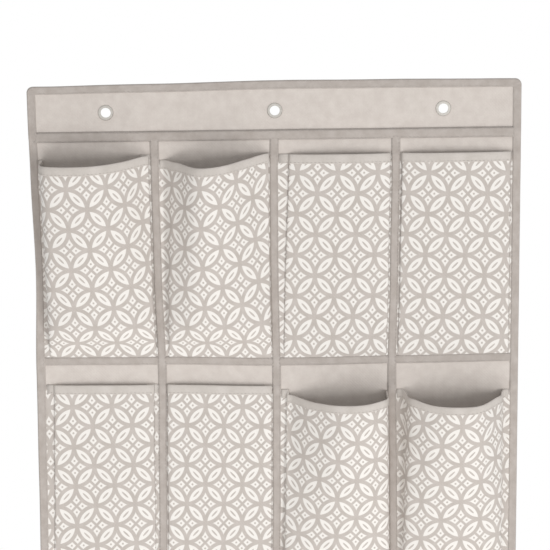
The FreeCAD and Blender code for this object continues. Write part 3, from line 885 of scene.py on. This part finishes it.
# %% Stitches
STITCH = 4.0          # from one stitch to the next
IN_FROM_EDGE = 1.3    # a row of stitches runs this far inside the edge of a binding
IN_FROM_TAPE = 1.2    # and inside the edge of a tape or a hem
BEHIND_PANEL = 0.8    # depth of the thread on the back of the panel
BEHIND_BINDING = BACK + 0.28


def stitch_row(bm, length, at):
    """A row of beads along a line of this length. at(distance, across, lift) places each point."""
    row = bmesh.new()
    bmesh.ops.create_icosphere(row, subdivisions=1, radius=1.0)
    bmesh.ops.transform(row, matrix=Matrix.Diagonal((1.35, 0.32, 0.34, 1.0)), verts=row.verts)
    bmesh.ops.translate(row, vec=(STITCH / 2, 0, 0), verts=row.verts)
    count = int(length / STITCH) - 1
    bmesh.ops.spin(row, geom=row.verts[:] + row.edges[:] + row.faces[:], dvec=(STITCH, 0, 0),
                   axis=(0, 0, 1), angle=0, steps=count, use_duplicate=True)
    layer = row.loops.layers.uv.verify()
    for face in row.faces:
        for loop in face.loops:
            loop[layer].uv = (loop.vert.co.x * MM, loop.vert.co.y * MM)
    for vert in row.verts:
        vert.co = at(*vert.co)
    bmesh.ops.recalc_face_normals(row, faces=row.faces)
    made = bpy.data.meshes.new("row")
    row.to_mesh(made)
    row.free()
    bm.from_mesh(made)
    bpy.data.meshes.remove(made)


stitches = {}
for r, (low, high) in SPANS.items():
    bm = bmesh.new()
    tape_top = HEADER_TAPE[0] + 1 if r == 1 else high
    for middle in DIVIDERS:
        for u in (-0.72, 0.72):
            stitch_row(bm, tape_top - low,
                       lambda d, a, h: tape_point(middle, tape_top - d, u + a / 5, 0.28 + h))
            stitch_row(bm, tape_top - low,
                       lambda d, a, h: lay(middle + u * 5 + a, BEHIND_PANEL + h, tape_top - d))
    side_top = high - 10 if r == 1 else high
    for side in (-1, 1):
        x = HALF - EDGING + IN_FROM_EDGE
        stitch_row(bm, side_top - low,
                   lambda d, a, h: lay(side * (x + a), -(rise_at(side_top - d) + 0.36 + h), side_top - d))
        stitch_row(bm, side_top - low, lambda d, a, h: lay(side * (x + a), BEHIND_BINDING + h, side_top - d))
    stitches[r] = bend_at_fold(new_piece(f"upright_stitches_{r}", bm, thread), r)

for r in ROWS:
    bm = bmesh.new()
    lines = [(z, 1.45, BEHIND_PANEL, -HALF + 5)
             for z in (SEAM[r][0] + IN_FROM_TAPE, SEAM[r][1] - IN_FROM_TAPE)]
    if r == 1:
        lines += [(z, 1.85, BEHIND_PANEL, -HALF + 5)
                  for z in (HEADER_TAPE[0] + IN_FROM_TAPE, HEADER_TAPE[1] - IN_FROM_TAPE)]
        lines.append((TOP - EDGING + IN_FROM_EDGE, 1.0, BEHIND_BINDING, -HALF + 12))
    if r == ROWS[-1]:
        lines.append((BOTTOM + EDGING - IN_FROM_EDGE, 1.0, BEHIND_BINDING, -HALF + 12))
    for z, front, back, start in lines:
        stitch_row(bm, -2 * start, lambda d, a, h: lay(start + d, -(front + h), z + a))
        stitch_row(bm, -2 * start, lambda d, a, h: lay(start + d, back + h, z + a))
    for c in COLUMNS:
        ks = [mix(1.2, 14.8, i / 120) for i in range(121)]
        along = distances([pocket_flat_point(r, c, k, HEIGHT)[:2] for k in ks], 0)

        def on_hem(d, a, h):
            i = bisect_left(along, d)
            k = mix(ks[i - 1], ks[i], (d - along[i - 1]) / (along[i] - along[i - 1]))
            return pocket_point(r, c, k, HEIGHT - HEM + IN_FROM_TAPE + a, 0.85 + h)

        stitch_row(bm, along[-1] - 1, on_hem)
    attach(new_piece(f"level_stitches_{r}", bm, thread), f"row_{r}")

# %% [markdown]
# ## Eyelets
#
# The eyelets are pressed from thin plated steel. They are the measured parts themselves, with a finish:
# satin metal that is a little duller in some fine patches than in others.

# %% Plated steel
plated, tree, shader = new_material("nickel_plated_steel", 0.32, 1.0)
place = add(tree, "TexCoord") and tree.nodes["Texture Coordinate"].outputs["Object"]
marks = add(tree, "TexNoise", place, None, 900.0, 3.0, 0.6)
tree.links.new(add(tree, "MapRange", marks, 0.2, 0.8, 0.24, 0.42), shader.inputs["Roughness"])
tree.links.new(add(tree, "MixRGB", marks, linear("#ABA7A1"), linear("#BDB9B3")), shader.inputs["Base Color"])
for name in ("eyelets", "eyelet_washers"):
    metal = frame["nodes"][name]
    metal.data.materials.clear()
    metal.data.materials.append(plated)
print("a metal rim is", round(highest("eyelets") - lowest("eyelets"), 1), "mm across")

# %% [markdown]
# ## Sheets
#
# For each panel length, the tapes, bindings and stitches that go with it are listed, and the pockets and
# panel lengths are counted.

# %% Sheets
for r, piece in pocket_cloths.items():
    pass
for r, piece in panels.items():
    low, high = SPANS[r]
    extra = [dividers[r], bindings[r], stitches[r]]
    extra += [top_binding, header_tape] if r == 1 else []
    extra += [bottom_binding] if r == LAST else []
print("sheets", len(pocket_cloths) + len(panels))

# %% [markdown]
# The low lamp stands close over the floor, where it would draw a hard edge. So it lights only the
# organizer's pieces.

# %% The low lamp lights only the organizer
lit_by_low_panel = bpy.data.collections.new("lit_by_low_panel")
for piece in bpy.data.objects:
    if piece.type == "MESH" and piece is not floor:
        lit_by_low_panel.objects.link(piece)
low_panel.light_linking.receiver_collection = lit_by_low_panel
